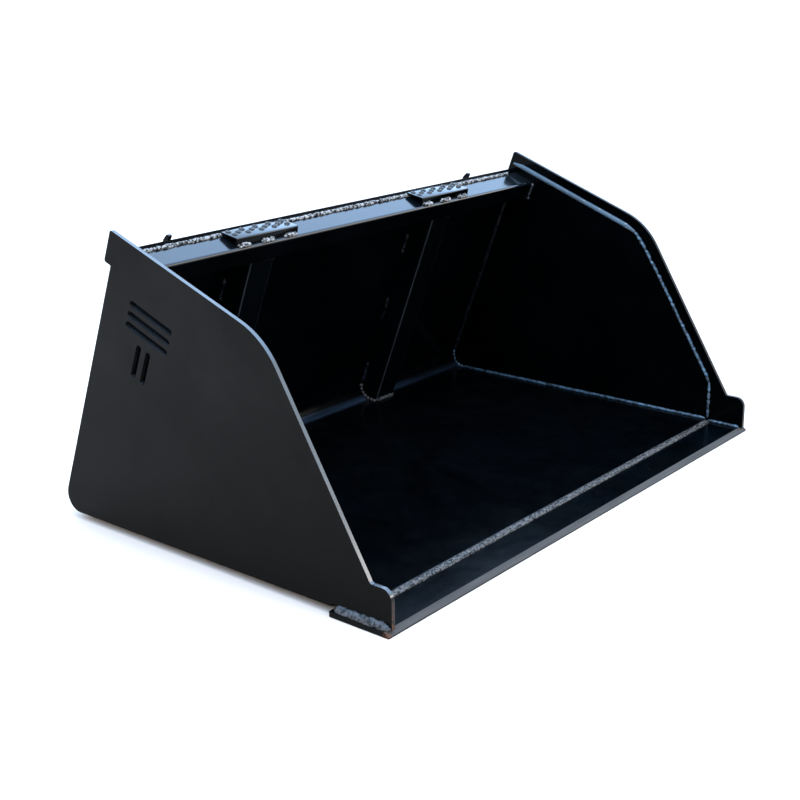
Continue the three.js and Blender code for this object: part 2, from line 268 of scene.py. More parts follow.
def edge_steel():
    """Rolled cutting edge: black paint, a paler streaked grey on the bevel, brown rust at its two ends."""
    g = Graph("edge_steel")
    mottle = g.ramp(g.noise(9, 6), 0.35, 0.7)
    paint = g.mix(mottle, grey(0.0004, 0.8), grey(0.0015, 0.8))
    paint = g.mix(g.specks(300, 0.68, 0.74, 0.5), paint, grey(0.06, 0.04))
    streaks = g.noise(30, 6, 0.6, g.stretch((0.25, 6, 1)))
    bare = g.mix(streaks, grey(0.03, -0.06), grey(0.1, -0.06))
    # The bevel's upward faces are a paler, streaked grey.
    along = g.ramp(g.axis("Y"), BEVEL_REAR + 0.001, BEVEL_REAR - 0.001)
    top = g.ramp(g.facing("Z"), 0.2, 0.5)
    ground = g.math("MULTIPLY", along, top)
    colour = g.mix(ground, paint, bare)
    ends = g.ramp(g.math("ABSOLUTE", g.axis("X")), SIDE_FACE - 0.004, CAD_HIGH.x)
    tips = g.math("MULTIPLY", ends, g.ramp(g.axis("Y"), FRONT + 0.017, FRONT + 0.005))
    rusty = g.math("MULTIPLY", tips, g.ramp(g.noise(90, 6, 0.7), 0.4, 0.6))
    chips = g.math("MULTIPLY", g.chips(0.0016, 120, 0.58, 0.66), 0.35)
    rusty = g.math("MAXIMUM", rusty, chips)
    colour = g.mix(rusty, colour, rust_colour(g))
    shine = g.ramp(g.noise(24, 6), 0.3, 0.75, 0.18, 0.28)
    shine = g.math("ADD", shine, g.math("MULTIPLY", rusty, 0.4))
    shine = g.math("ADD", shine, g.math("MULTIPLY", ground, 0.22))
    g.bumps((g.noise(4, 2), 0.25, 0.008), (g.noise(500, 3), 0.12, 0.0003), (streaks, 0.1, 0.0005),
            (rusty, 0.3, -0.0003))
    return g.out(Base_Color=colour, Roughness=shine, Specular_IOR_Level=0.07)


def side_paint():
    """Satin paint on the side plates' outer faces, scuffed and faintly mottled. Its charcoal grey, paler
    than the same black inside, is painted light.
    """
    g = Graph("side_paint")
    mottle = g.ramp(g.noise(5, 8, 0.65), 0.3, 0.72)
    # Painted light: the outer faces get a charcoal grey, paler than the black inside the bucket.
    paint = g.mix(mottle, grey(0.003, -0.08), grey(0.0085, -0.08))
    # Painted shade: darker towards the bottom of the plate.
    paint = g.mix(g.ramp(g.axis("Z"), 0.42, 0.05), paint, grey(0.0004, 0.0))
    paint = g.mix(g.specks(240, 0.68, 0.74, 0.4), paint, grey(0.03, -0.05))
    scuffs = g.ramp(g.noise(14, 7, 0.7, g.stretch((1, 1.2, 3.5))), 0.6, 0.78)
    paint = g.mix(g.math("MULTIPLY", scuffs, 0.12), paint, grey(0.03, 0.02))
    chips = g.chips(0.002, 150, 0.64, 0.7)
    colour = g.mix(g.math("MULTIPLY", chips, 0.6), paint, rust_colour(g))
    shine = g.math("ADD", g.ramp(g.noise(17, 6, 0.6), 0.3, 0.75, 0.32, 0.46),
                   g.math("MULTIPLY", chips, 0.3))
    g.bumps((g.noise(3, 2), 0.25, 0.01), (g.noise(420, 2), 0.14, 0.0004),
            (g.noise(80, 6, 0.7), 0.1, 0.0006), (chips, 0.25, -0.0003))
    return g.out(Base_Color=colour, Roughness=shine, Specular_IOR_Level=0.06)


def cut_edge_paint(name, dark, light, rough, level, coat):
    """Thick paint on flame-cut plate edges, with brown rust low on the upright front ones."""
    g = Graph(name)
    drag = g.noise(160, 4, 0.6, g.stretch((1, 0.35, 0.35)))
    paint = g.mix(g.ramp(g.noise(12, 6), 0.35, 0.7), dark, light)
    front = g.math("MULTIPLY", g.ramp(g.axis("Y"), FRONT + 0.0045, FRONT + 0.0028),
                   g.ramp(g.axis("Z"), 0.098, 0.08))
    rusty = g.math("MULTIPLY", front, g.ramp(g.noise(130, 6, 0.7), 0.5, 0.62))
    rusty = g.math("MULTIPLY", rusty, g.ramp(g.axis("Z"), 0.07, 0.03, 0.25, 0.9))
    chips = g.math("MULTIPLY", g.chips(0.002, 150, 0.62, 0.68), 0.5)
    rusty = g.math("MAXIMUM", rusty, chips)
    colour = g.mix(rusty, paint, rust_colour(g))
    shine = g.math("ADD", g.ramp(g.noise(30, 5), 0.3, 0.7, rough, rough + 0.12),
                   g.math("MULTIPLY", rusty, 0.35))
    g.bumps((drag, 0.12, 0.0008), (g.noise(420, 2), 0.12, 0.0003), (rusty, 0.25, -0.0003))
    return g.out(Base_Color=colour, Roughness=shine, Specular_IOR_Level=level, Coat_Weight=coat,
                 Coat_Roughness=0.1)


def heel_highlight_paint():
    """Painted highlight: a soft blue streak painted into the colour of the heel's tight bend, strongest
    towards -X.
    """
    g = Graph("heel_painted_highlight")
    # Painted highlight on faces tilted between the floor and the back, broken up by stretched noise.
    painted_streak = g.math("MULTIPLY", g.ramp(g.facing("Z"), 0.55, 0.85), g.ramp(g.facing("Z"), 0.99, 0.9))
    painted_streak = g.math("MULTIPLY", painted_streak, g.ramp(g.noise(6, 5, 0.6, g.stretch((0.4, 2, 2))), 0.3, 0.65, 0.1, 1.0))
    streak_fade = g.ramp(g.axis("X"), 0.5, -0.7, 0.35, 1.0)
    colour = g.mix(g.math("MULTIPLY", painted_streak, streak_fade), grey(0.0006, 0.5), (0.05, 0.08, 0.125, 1))
    shine = g.ramp(g.noise(22, 6, 0.6), 0.3, 0.75, 0.16, 0.28)
    g.bumps((g.noise(2.6, 2), 0.25, 0.008), (g.noise(430, 2), 0.08, 0.0004))
    return g.out(Base_Color=colour, Roughness=shine, Specular_IOR_Level=0.2)


BLACK = gloss_paint("black_paint_inside", grey(0.0004, 0.6), grey(0.0011, 0.5), 0.14, 0.5, 0.02, 0.07, 0.0)
MATTE = gloss_paint("black_paint_matt", grey(0.0006, 0.6), grey(0.0016, 0.5), 0.3, 0.5, 0.02, 0.03, 0.0)
# Painted highlight: up-facing faces get a paler, bluish copy of the black paint as a sky sheen, and they
# also hold more dust.
PAINTED_TOP_SHEEN = gloss_paint("black_paint_painted_top_sheen", grey(0.002, 0.6), grey(0.006, 0.5), 0.08, 0.6, 0.08, 0.5, 0.3)
PAINTED_HEEL_STREAK = heel_highlight_paint()
OUTSIDE_PAINTED_LIGHT = side_paint()
# Painted highlight: up-facing plate edges get a lighter, bluish paint, as if they mirrored the sky.
PAINTED_EDGE_HIGHLIGHT = cut_edge_paint("cut_edge_paint", grey(0.02, 0.15), grey(0.05, 0.12), 0.12, 0.8, 0.8)
# Painted reflection: the smooth liner fillet is painted pale blue, as if it mirrored the sky.
PAINTED_FILLET_REFLECTION = cut_edge_paint("fillet_painted_reflection", grey(0.05, 0.6), grey(0.11, 0.5), 0.15, 0.5, 0.3)
# Painted highlight: a lighter, bluish line of paint along each rib's fold.
PAINTED_FOLD_HIGHLIGHT = gloss_paint("rib_fold_painted_highlight", grey(0.02, 0.15), grey(0.04, 0.15), 0.1, 0.6, 0.05, 0.5, 0.0)
# Painted shade: a darker, duller copy of the edge paint for edges that face away from the sky.
PAINTED_EDGE_SHADE = cut_edge_paint("edge_painted_shade", grey(0.004, 0.1), grey(0.012, 0.1), 0.3, 0.15, 0.0)
EDGE = edge_steel()
WELD = weld_paint("weld_bead", grey(0.003, 0.4), grey(0.05, 0.2), 0.44, 0.58, 150, 0.4, 0.2)
DIM_WELD = weld_paint("dim_weld_bead", grey(0.001, 0.5), grey(0.025, 0.4), 0.47, 0.62, 110, 0.15, 0.0)
# Painted highlight: near-white crests on the top rail and grip step welds.
RAIL_WELD = weld_paint("rail_weld_bead", grey(0.001, 0.15), grey(0.4, 0.0), 0.48, 0.54, 150, 0.25, 0.0)
# Painted highlight: pale silver crests on the floor front and rib foot welds.
PALE_WELD = weld_paint("pale_weld_bead", grey(0.006, 0.1), grey(0.13, -0.08), 0.45, 0.56, 175, 0.2, 0.0)
# Painted reflection: blue-grey crests on the ledge welds, as if the glossy bead mirrored the sky.
LEDGE_WELD = weld_paint("ledge_weld_bead", grey(0.003, 0.7), grey(0.085, 0.12), 0.43, 0.54, 115, 0.3, 0.2)
# Painted reflection: pale blue crests on the liner and floor corner welds, as if they mirrored the sky.
LINER_WELD = weld_paint("liner_weld_bead", grey(0.003, 0.6), grey(0.14, 0.5), 0.4, 0.58, 105, 0.4, 0.3)


# ---------------------------------------------------------------- pieces

def link(name, mesh, material, body="root"):
    mesh.materials.clear()
    mesh.materials.append(material)
    piece = bpy.data.objects.new(name, mesh)
    bpy.context.collection.objects.link(piece)
    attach(piece, body)
    return piece


def smooth(mesh, degrees=32):
    mesh.shade_smooth()
    mesh.set_sharp_from_angle(angle=math.radians(degrees))


EDGE_BREAK, BODY_BREAK, PLATE_BREAK, TUBE_BREAK, STEP_BREAK = 0.0012, 0.0009, 0.0008, 0.0006, 0.0005


def broken_edges(bm, width, degrees=25):
    """Rounds every corner of a plate by a hair, as a ground or worn edge has it."""
    bmesh.ops.remove_doubles(bm, verts=bm.verts, dist=1e-6)
    bmesh.ops.dissolve_limit(bm, angle_limit=math.radians(0.3), verts=bm.verts, edges=bm.edges)
    sharp = [e for e in bm.edges if e.is_manifold and e.calc_face_angle() > math.radians(degrees)]
    bmesh.ops.bevel(bm, geom=sharp, offset=width, segments=2, profile=0.6, affect="EDGES",
                    clamp_overlap=True)


def refined(node, width, pick):
    """The CAD node's own shape with broken edges and smooth bends, standing for the node. pick
    chooses each face's paint from its normal."""
    bm = bmesh.new()
    bm.from_mesh(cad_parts[node].data)
    broken_edges(bm, width)
    mesh = bpy.data.meshes.new(node + "_skin")
    bm.to_mesh(mesh)
    bm.free()
    smooth(mesh)
    piece = paint_faces(link(node + "_skin", mesh, BLACK), pick)
    weigh = piece.modifiers.new("weigh", "WEIGHTED_NORMAL")
    weigh.keep_sharp = True
    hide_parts(node)
    return piece


def paint_faces(piece, pick):
    mesh = piece.data
    mesh.materials.clear()
    used = []
    for face in mesh.polygons:
        material = pick(face.normal)
        if material not in used:
            used.append(material)
            mesh.materials.append(material)
        face.material_index = used.index(material)
    return piece


# Each of these picks a face's paint from its normal.

def all_black(_):
    return BLACK


def all_matte(_):
    return MATTE


def all_steel(_):
    return EDGE


# Up-facing faces take the painted sky sheen.
def tops_with_painted_sheen(normal):
    return PAINTED_TOP_SHEEN if normal.z > 0.05 else BLACK


# The heel's bent faces take the painted highlight streak.
def heel_bend(normal):
    return PAINTED_HEEL_STREAK if 0.05 < normal.z < 0.995 and normal.y < 0 else BLACK


# One facet of each rib fold takes the painted highlight line. The other faces are matt black.
def rib_folds(normal):
    return PAINTED_FOLD_HIGHLIGHT if 0.4 < abs(normal.x) < 0.6 else MATTE


# Up-facing edges take the painted highlight, the others take the painted shade.
def edge_paint(normal):
    return PAINTED_EDGE_HIGHLIGHT if normal.z > 0.42 else PAINTED_EDGE_SHADE


def side_plate_paint(sign):
    """Charcoal outside, as painted light, and black inside. The right plate's edges take the painted shade
    all round.
    """
    def pick(normal):
        if abs(normal.x) < 0.75:
            # The right plate's edges all take the painted shade, also where they face up.
            return PAINTED_EDGE_SHADE if sign > 0 else edge_paint(normal)
        return OUTSIDE_PAINTED_LIGHT if normal.x * sign > 0 else BLACK
    return pick


def liner_paint(normal):
    return edge_paint(normal) if abs(normal.x) < 0.75 else BLACK


def plates():
    refined("cutting_edge", EDGE_BREAK, all_steel)
    refined("bucket_shell", BODY_BREAK, heel_bend)
    for sign, side in SIDES:
        refined("side_plate_" + side, PLATE_BREAK, side_plate_paint(sign))
        refined("side_liner_" + side, PLATE_BREAK, liner_paint)
        refined("back_rib_" + side, PLATE_BREAK, rib_folds)
        refined("mount_ear_" + side, BODY_BREAK, tops_with_painted_sheen)
        refined("mount_pad_" + side, BODY_BREAK, tops_with_painted_sheen)
        for where in ("outer", "inner"):
            refined("lip_gusset_%s_%s" % (where, side), BODY_BREAK, all_black)
    refined("top_tube", TUBE_BREAK, tops_with_painted_sheen)
    refined("hook_plate", BODY_BREAK, all_matte)
    refined("lower_mount_lip", BODY_BREAK, tops_with_painted_sheen)
    for bar in WEAR_BARS:
        refined(bar, BODY_BREAK, all_steel)


# ---------------------------------------------------------------- welds

# Leg lengths of the beads, from the root to a toe. COARSE is the step along those behind and below.
RAIL_LEG, RIB_LEG, CORNER_LEG, LIP_LEG, STEP_LEG, FOOT_LEG = 0.005, 0.006, 0.0062, 0.007, 0.0075, 0.008
MOUNT_LEG, PAD_LEG = 0.006, 0.008
COARSE = 0.003


def resample(path, step):
    """Evenly spaced points and unit directions along a polyline."""
    points, ways = [], []
    for a, b in zip(path, path[1:]):
        run = (b - a).length
        count = max(1, round(run / step))
        for i in range(count):
            points.append(a.lerp(b, i / count))
            ways.append((b - a).normalized())
    points.append(path[-1].copy())
    ways.append(ways[-1])
    return points, ways


# A bead is END_SIZE of its full size at its ends and fills out within END_SCALES scales. A scale's
# border runs BOW of the pitch earlier in the middle than at the toes, and the scale is RIPPLE of the
# crown higher where it starts than where it ends. SHAKE roughens every point, as a share of the legs.
END_SIZE, END_SCALES, BOW, RIPPLE, SHAKE = 0.35, 1.6, 0.55, 0.352, 0.012


def bead_rings(path, a, b, out, crown, pitch, rough, seed, step, cuts):
    """Cross-sections of one weld run of overlapping, bowed scales."""
    rng = random.Random(seed)
    points, ways = resample(path, step)
    length = step * (len(points) - 1)
    drift = [rng.uniform(-1, 1) for _ in range(int(length / pitch) + 4)]
    rings = []
    for i, (point, way) in enumerate(zip(points, ways)):
        along = i * step
        taper = min(1.0, END_SIZE + min(along, length - along) / (END_SCALES * pitch))
        ring = []
        for k in range(cuts):
            t = k / (cuts - 1)
            hump = 4 * t * (1 - t)
            phase = (along + BOW * pitch * hump) / pitch + 0.5
            scale = int(phase)
            saw = 1 - (phase - scale)
            swell = 1 + rough * drift[min(scale, len(drift) - 1)]
            ripple = RIPPLE * saw * hump
            spread = taper * swell
            chord = a * ((1 - t) * spread) + b * (t * spread)
            lift = out * (crown * taper * (hump * swell + ripple))
            shake = Vector([rng.uniform(-1, 1) for _ in range(3)]) * (SHAKE * (a.length + b.length))
            ring.append(point + chord + lift + shake * (0.3 + hump) * rough * 2)
        ring.append(point)
        rings.append(ring)
    return rings


def bead(into, path, a, b, seed, out=None, crown=None, pitch=0.0055, rough=0.12, step=0.0016, cuts=6):
    """Adds a closed weld bead to mesh data `into` = (verts, faces). a and b reach from the root
    line to the two toes. The seed sets how uneven its scales come out."""
    verts, faces = into
    if out is None:
        out = (a.normalized() + b.normalized()).normalized()
    if crown is None:
        crown = 0.16 * (a.length + b.length)
    rings = bead_rings(path, a, b, out, crown, pitch, rough, seed, step, cuts)
    size = cuts + 1
    first = len(verts)
    for ring in rings:
        verts.extend(ring)
    way = (path[1] - path[0]).normalized()
    flip = a.cross(b).dot(way) > 0 or (a.cross(b).length < 1e-9 and a.cross(out).dot(way) > 0)
    for i in range(len(rings) - 1):
        low = first + i * size
        for k in range(size):
            m = (k + 1) % size
            face = (low + k, low + m, low + size + m, low + size + k)
            faces.append(face if flip else face[::-1])
    start = tuple(range(first, first + size))
    end = tuple(range(first + (len(rings) - 1) * size, first + len(rings) * size))
    faces.append(start[::-1] if flip else start)
    faces.append(end if flip else end[::-1])


def weld_piece(name, into, material):
    mesh = bpy.data.meshes.new(name)
    mesh.from_pydata([tuple(v) for v in into[0]], [], into[1])
    mesh.validate()
    mesh.shade_smooth()
    link(name, mesh, material)


def floor_front_weld():
    """The wide bead between the bent sheet and the cutting edge."""
    into = ([], [])
    root = Vector((0, SHELL_FRONT, EDGE_TOP))
    half = LINER_FACE - 0.001
    path = [root + ACROSS * -half, root + ACROSS * half]
    bead(into, path, FORWARD * 0.0145, UP * 0.0064, 3, crown=0.0022, pitch=0.0055, rough=0.07,
         step=0.0014, cuts=10)
    weld_piece("weld_floor_front", into, PALE_WELD)


def top_rail_welds():
    """The rough bead along the hook plate's edge, and the top rail's ends to the liners."""
    into = ([], [])
    path = [place(x, TUBE_TOP, HOOK_FRONT - 0.0004) for x in (-0.722, 0.7)]
    bead(into, path, OUT_BACK * -0.0078, UP_BACK * 0.0052 + OUT_BACK * 0.001, 11, crown=0.0026,
         out=(UP_BACK - OUT_BACK * 0.6).normalized(), pitch=0.007, rough=0.2, cuts=8)
    weld_piece("weld_top_rail", into, RAIL_WELD)
    for sign, side in SIDES:
        into = ([], [])
        x = sign * (LINER_FACE - 0.0003)
        inward = ACROSS * (-sign * RAIL_LEG)
        front = [place(x, TUBE_BOTTOM + 0.002, TUBE_FRONT), place(x, TUBE_TOP - 0.004, TUBE_FRONT)]
        under = [place(x, TUBE_BOTTOM, TUBE_FRONT + 0.004), place(x, TUBE_BOTTOM, -SHEET - 0.004)]
        bead(into, front, inward, OUT_BACK * -RAIL_LEG, 21)
        bead(into, under, inward, UP_BACK * -RAIL_LEG, 23)
        for s in (TUBE_BOTTOM + 0.003, TUBE_TOP - 0.006):
            blob = [place(x, s - 0.005, TUBE_FRONT), place(x, s + 0.005, TUBE_FRONT)]
            bead(into, blob, inward * 1.5, OUT_BACK * -0.009, 25, crown=0.005)
        weld_piece("weld_rail_end_" + side, into, WELD)


def liner_outline():
    """The liner's welded edge, from the floor up to the top rail."""
    corners = [(0.106, 0.0197), (0.106, 0.125), (0.277, 0.402), (0.3, 0.436), (0.317, 0.464), (0.353, 0.51)]
    top = place(0, 0.69, 0.01)
    return [Vector((0, FRONT + depth, height)) for depth, height in corners] + [top]


def liner_welds():
    """Rippled up the steep edge, then one smooth painted-over fillet from the knee to the top rail, whose
    pale blue is a painted reflection.
    """
    outline = liner_outline()
    knee = len(outline) - 2
    for sign, side in SIDES:
        rippled, smooth_run = ([], []), ([], [])
        x = sign * PLATE_INNER
        for i, (low, high) in enumerate(zip(outline, outline[1:])):
            way = (high - low).normalized()
            outward = Vector((0, -way.z, way.y))
            path = [Vector((x, p.y, p.z)) for p in (low, high)]
            inward = ACROSS * (-sign * CORNER_LEG)
            if i < knee:
                bead(rippled, path, outward * 0.0055, inward, 31 + i, rough=0.22, pitch=0.007)
            else:
                bead(smooth_run, path, outward * 0.011, inward, 31 + i, rough=0.03, pitch=0.03,
                     crown=0.0014)
        weld_piece("weld_liner_" + side, rippled, LINER_WELD)
        weld_piece("fillet_liner_" + side, smooth_run, PAINTED_FILLET_REFLECTION)


def heel_arc(x_of):
    """Points and inward directions round the inside of the heel, from the floor to the back. x_of
    gives a point's x from its n."""
    bend = HEEL_RADIUS - SHEET
    middle = place(0, HEEL_MIDDLE, -HEEL_RADIUS)
    steps_round = 6
    arc = []
    for k in range(steps_round + 1):
        angle = (math.pi / 2 + TILT) * k / steps_round - math.pi / 2
        out = Vector((0, math.cos(angle), math.sin(angle)))
        point = middle + out * bend
        n = (point - Vector((0, HEEL_Y, HEEL_Z))).dot(OUT_BACK)
        point.x = x_of(n)
        arc.append((point, -out))
    return arc


def bead_along(into, arc, side, leg, seed, **shape):
    """One bead round the heel, turning with it."""
    for i, ((p0, in0), (p1, in1)) in enumerate(zip(arc, arc[1:])):
        bead(into, [p0, p1], side, (in0 + in1).normalized() * leg, seed + i, **shape)


def inner_corner_welds():
    """Liner to floor and back inside the bucket, then side plate to cutting edge in front."""
    for sign, side in SIDES:
        into, low = ([], []), ([], [])
        x = sign * LINER_FACE
        inward = ACROSS * (-sign * CORNER_LEG)
        arc = heel_arc(lambda n, at=x: at)
        floor = [Vector((x, SHELL_FRONT + 0.003, FLOOR_TOP)), Vector((x, arc[0][0].y, FLOOR_TOP))]
        rear = [arc[-1][0], place(x, SHELL_TOP - 0.002, -SHEET)]
        bead(low, floor, inward, UP * CORNER_LEG, 41, step=0.002, rough=0.08)
        bead_along(low, arc, inward, CORNER_LEG, 43, rough=0.08)
        bead(into, rear, inward, OUT_BACK * -CORNER_LEG, 42, step=0.002, rough=0.08)
        edge = [Vector((sign * PLATE_INNER, FRONT + y, EDGE_TOP)) for y in (0.012, 0.104)]
        bead(low, edge, inward, UP * CORNER_LEG, 44, rough=0.08)
        weld_piece("weld_inner_corner_" + side, into, DIM_WELD)
        weld_piece("weld_floor_side_" + side, low, LINER_WELD)


def rib_foot(into, sign):
    """Round the foot of a rib: down each web through the heel and across the front."""
    fore = Vector((0, rib_toe_y(), FLOOR_TOP))
    for edge in (-1, 1):
        def x_of(n, edge=edge):
            share = min(1.0, max(0.0, (n - RIB_FRONT) / (-SHEET - RIB_FRONT)))
            return sign * RIB_X + edge * (RIB_CROWN + (RIB_BASE - RIB_CROWN) * share)
        away = ACROSS * (edge * FOOT_LEG)
        arc = heel_arc(x_of)
        corner = Vector((sign * RIB_X + edge * RIB_CROWN, fore.y, fore.z))
        bead(into, [corner, arc[0][0]], away, UP * FOOT_LEG, 65, rough=0.2)
        bead_along(into, arc, away, FOOT_LEG, 66, rough=0.2)
    front = [Vector((sign * RIB_X + edge * RIB_CROWN, fore.y, fore.z)) for edge in (-1, 1)]
    bead(into, front, FORWARD * FOOT_LEG, UP * FOOT_LEG, 75, rough=0.2)


def rib_toe_y():
    """Where the front face of a rib meets the floor."""
    rise = (FLOOR_TOP - HEEL_Z - RIB_FRONT * math.sin(TILT)) / math.cos(TILT)
    return place(0, rise, RIB_FRONT).y


def rib_welds():
    """Three short stitches down each web, the rib's top to the top rail, and its foot."""
    stitches = ((0.547, 0.484), (0.345, 0.27), (0.13, 0.062))
    for sign, side in SIDES:
        into, foot = ([], []), ([], [])
        for edge in (-1, 1):
            base = sign * RIB_X + edge * RIB_BASE
            crown = sign * RIB_X + edge * RIB_CROWN
            web = (place(crown, 0, RIB_FRONT) - place(base, 0, -SHEET)).normalized()
            away = ACROSS * (edge * RIB_LEG)
            for i, (high, low) in enumerate(stitches):
                path = [place(base, low, -SHEET), place(base, high, -SHEET)]
                bead(into, path, away, web * RIB_LEG, 51 + i + 7 * edge, rough=0.18)
            top = [place(base, TUBE_BOTTOM, -SHEET - 0.004), place(crown, TUBE_BOTTOM, RIB_FRONT + 0.004)]
            bead(into, top, away, UP_BACK * -RAIL_LEG, 61 + edge, rough=0.18)
        front = [place(sign * RIB_X - RIB_CROWN, TUBE_BOTTOM, RIB_FRONT),
                 place(sign * RIB_X + RIB_CROWN, TUBE_BOTTOM, RIB_FRONT)]
        bead(into, front, OUT_BACK * -RAIL_LEG, UP_BACK * -RAIL_LEG, 63)
        rib_foot(foot, sign)
        weld_piece("weld_rib_" + side, into, DIM_WELD)
        weld_piece("weld_rib_foot_" + side, foot, PALE_WELD)


def step_welds():
    """Three short runs in front of each grip step and three behind it."""
    flange_up = (on_tread(0, 0, 0) - on_tread(0, 0, -TREAD_FLANGE)).normalized()
    for side, x in TREADS.items():
        into = ([], [])
        for i, offset in enumerate((-0.076, 0, 0.076)):
            front = [place(x + offset + end, TUBE_TOP, TREAD_FOOT) for end in (-0.022, 0.022)]
            bead(into, front, OUT_BACK * -STEP_LEG, flange_up * STEP_LEG, 71 + i, rough=0.22)
            rear = [on_tread(x + offset + end, TREAD_DEPTH, -TREAD_THICK) for end in (-0.02, 0.02)]
            bead(into, rear, UP_BACK * 0.004, OUT_BACK * 0.006 - UP_BACK * 0.004, 81 + i, rough=0.2)
        weld_piece("weld_step_" + side, into, RAIL_WELD)


def outer_side_welds():
    """Side plate to the cutting edge's ledge, and side plate to the end of the bent sheet."""
    for sign, side in SIDES:
        into, outer = ([], []), ([], [])
        ledge = [Vector((sign * SIDE_FACE, FRONT + y, EDGE_TOP)) for y in (0.004, 0.147)]
        bead(outer, ledge, ACROSS * (sign * 0.0112), UP * 0.0135, 91, crown=0.0012, pitch=0.011,
             rough=0.08)
        weld_piece("weld_ledge_" + side, outer, LEDGE_WELD)
        under = [Vector((sign * SHELL_END, FRONT + 0.158, HEEL_Z)),
                 Vector((sign * SHELL_END, FRONT + 0.935, HEEL_Z))]
        bead(into, under, ACROSS * (sign * 0.0085), UP * -0.0034, 92, crown=0.0008, step=COARSE)
        rear = [place(sign * PLATE_INNER, 0.06, -0.0004), place(sign * PLATE_INNER, 0.612, -0.0004)]
        bead(into, rear, ACROSS * 0.0045, ACROSS * -0.0045, 93, out=OUT_BACK, crown=0.0018, step=COARSE)
        weld_piece("weld_side_outer_" + side, into, WELD)


def hook_end(x):
    """Across the thickness of the hook plate's lower end, where it meets an ear."""
    s, n = HOOK_TOP - HOOK_REACH, HOOK_FRONT + HOOK_REACH
    return [place(x, s + inset, n + inset) for inset in (0.0005, 0.0062)]


def ear_welds(into, sign, down_hook):
    """The outside of one ear to the back, and both its faces to the hook plate's lower end."""
    root = [place(sign * EAR_FACE, s, 0) for s in (0.1, 0.615)]
    bead(into, root, ACROSS * (sign * MOUNT_LEG), OUT_BACK * MOUNT_LEG, 101, step=COARSE)
    for x, way in ((EAR_FACE, 1), (EAR_INNER, -1)):
        bead(into, hook_end(sign * x), ACROSS * (sign * way * MOUNT_LEG), down_hook * MOUNT_LEG, 103)


def pad_welds(into, sign):
    """The inner, top and bottom edges of one pad to the back."""
    inner = [place(sign * PAD_INNER, s, 0) for s in (PAD_BOTTOM + 0.002, PAD_TOP - 0.002)]
    bead(into, inner, ACROSS * (-sign * MOUNT_LEG), OUT_BACK * PAD_LEG, 105, step=COARSE)
    for s, way in ((PAD_TOP, 1), (PAD_BOTTOM, -1)):
        ends = [place(sign * x, s, 0) for x in (PAD_INNER + 0.002, PAD_OUTER)]
        bead(into, ends, UP_BACK * (MOUNT_LEG * way), OUT_BACK * PAD_LEG, 107, step=COARSE)


def gusset_welds(into, sign):
    """Both faces of the two gussets under one end of the lower lip."""
    for spread in (-1, 1):
        for face in (-1, 1):
            x = sign * SLOT_X + spread * GUSSET_SPREAD + face * GUSSET_HALF
            root = [place(x, s, 0) for s in (0.083, 0.152)]
            bead(into, root, ACROSS * (face * MOUNT_LEG), OUT_BACK * MOUNT_LEG, 109, step=COARSE)


def mount_welds():
    """Everything behind the back: ears, pads, gussets, lower lip, the sheet's top edge and the hook."""
    into = ([], [])
    down_hook = (OUT_BACK - UP_BACK).normalized()
    for sign, _ in SIDES:
        ear_welds(into, sign, down_hook)
        pad_welds(into, sign)
        gusset_welds(into, sign)
    lip = [place(x, LIP_FOOT, 0) for x in (-LIP_HALF, LIP_HALF)]
    down_lip = OUT_BACK * 0.866 - UP_BACK * 0.5
    bead(into, lip, UP_BACK * LIP_LEG, down_lip * LIP_LEG, 111, step=COARSE)
    seam = [place(x, SHELL_TOP + 0.0001, 0) for x in (-0.73, 0.73)]
    bead(into, seam, UP_BACK * -MOUNT_LEG, OUT_BACK * MOUNT_LEG, 113, step=COARSE)
    for x0, x1 in ((-0.732, -0.566), (-0.554, 0.554), (0.566, 0.732)):
        hook = [place(x, HOOK_TOP + HOOK_FRONT - TUBE_REAR - 0.0006, TUBE_REAR) for x in (x0, x1)]
        bead(into, hook, UP_BACK * -MOUNT_LEG, down_hook * MOUNT_LEG, 115, step=COARSE)
    weld_piece("weld_quick_attach", into, WELD)


def underside_welds():
    """The sheet to the cutting edge from below, and four stitches down each side of a wear bar."""
    into = ([], [])
    rear = [Vector((x, EDGE_REAR, EDGE_TOP)) for x in (-0.735, 0.735)]
    bead(into, rear, FORWARD * -LIP_LEG, UP * -0.008, 121, step=COARSE)
    half_stitch = 0.025
    for i, bar in enumerate(WEAR_BARS):
        low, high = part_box(bar)
        for x, way in ((low.x, -1), (high.x, 1)):
            for share in (0.08, 0.36, 0.64, 0.9):
                y = low.y + (high.y - low.y) * share
                path = [Vector((x, y + end, EDGE_TOP)) for end in (-half_stitch, half_stitch)]
                bead(into, path, ACROSS * (way * LIP_LEG), UP * -LIP_LEG, 124 + i, step=COARSE)
    weld_piece("weld_underside", into, WELD)


# ---------------------------------------------------------------- grip steps

# How far behind the front fold each row of lugs is, and how many it has.
LUG_ROWS = ((0.023, 5), (0.0335, 4), (0.044, 5))
LUG_PITCH, LUG_SIDES = 0.043, 18
# A lug's (radius, height) from its foot to the middle of its dished top.
LUG_PROFILE = ((0.0085, -0.0008), (0.0076, 0.0001), (0.0064, 0.002), (0.0056, 0.0031), (0.0047, 0.0034),
               (0.0036, 0.0032), (0.0026, 0.0012), (0.0, 0.0006))


def tread_profile():
    """Outline of a folded step in (a, h): up the flange, round the fold, back and underneath."""
    bend, thick, bend_steps = 0.0035, TREAD_THICK, 4
    outline = [(0, -TREAD_FLANGE)]
    for k in range(bend_steps + 1):
        angle = math.pi / 2 * k / bend_steps
        outline.append((bend * (1 - math.cos(angle)), bend * (math.sin(angle) - 1)))
    outline += [(TREAD_DEPTH, 0), (TREAD_DEPTH, -thick), (thick, -thick),
                (thick, -TREAD_FLANGE + thick * math.tan(TREAD_LEAN))]
    return outline


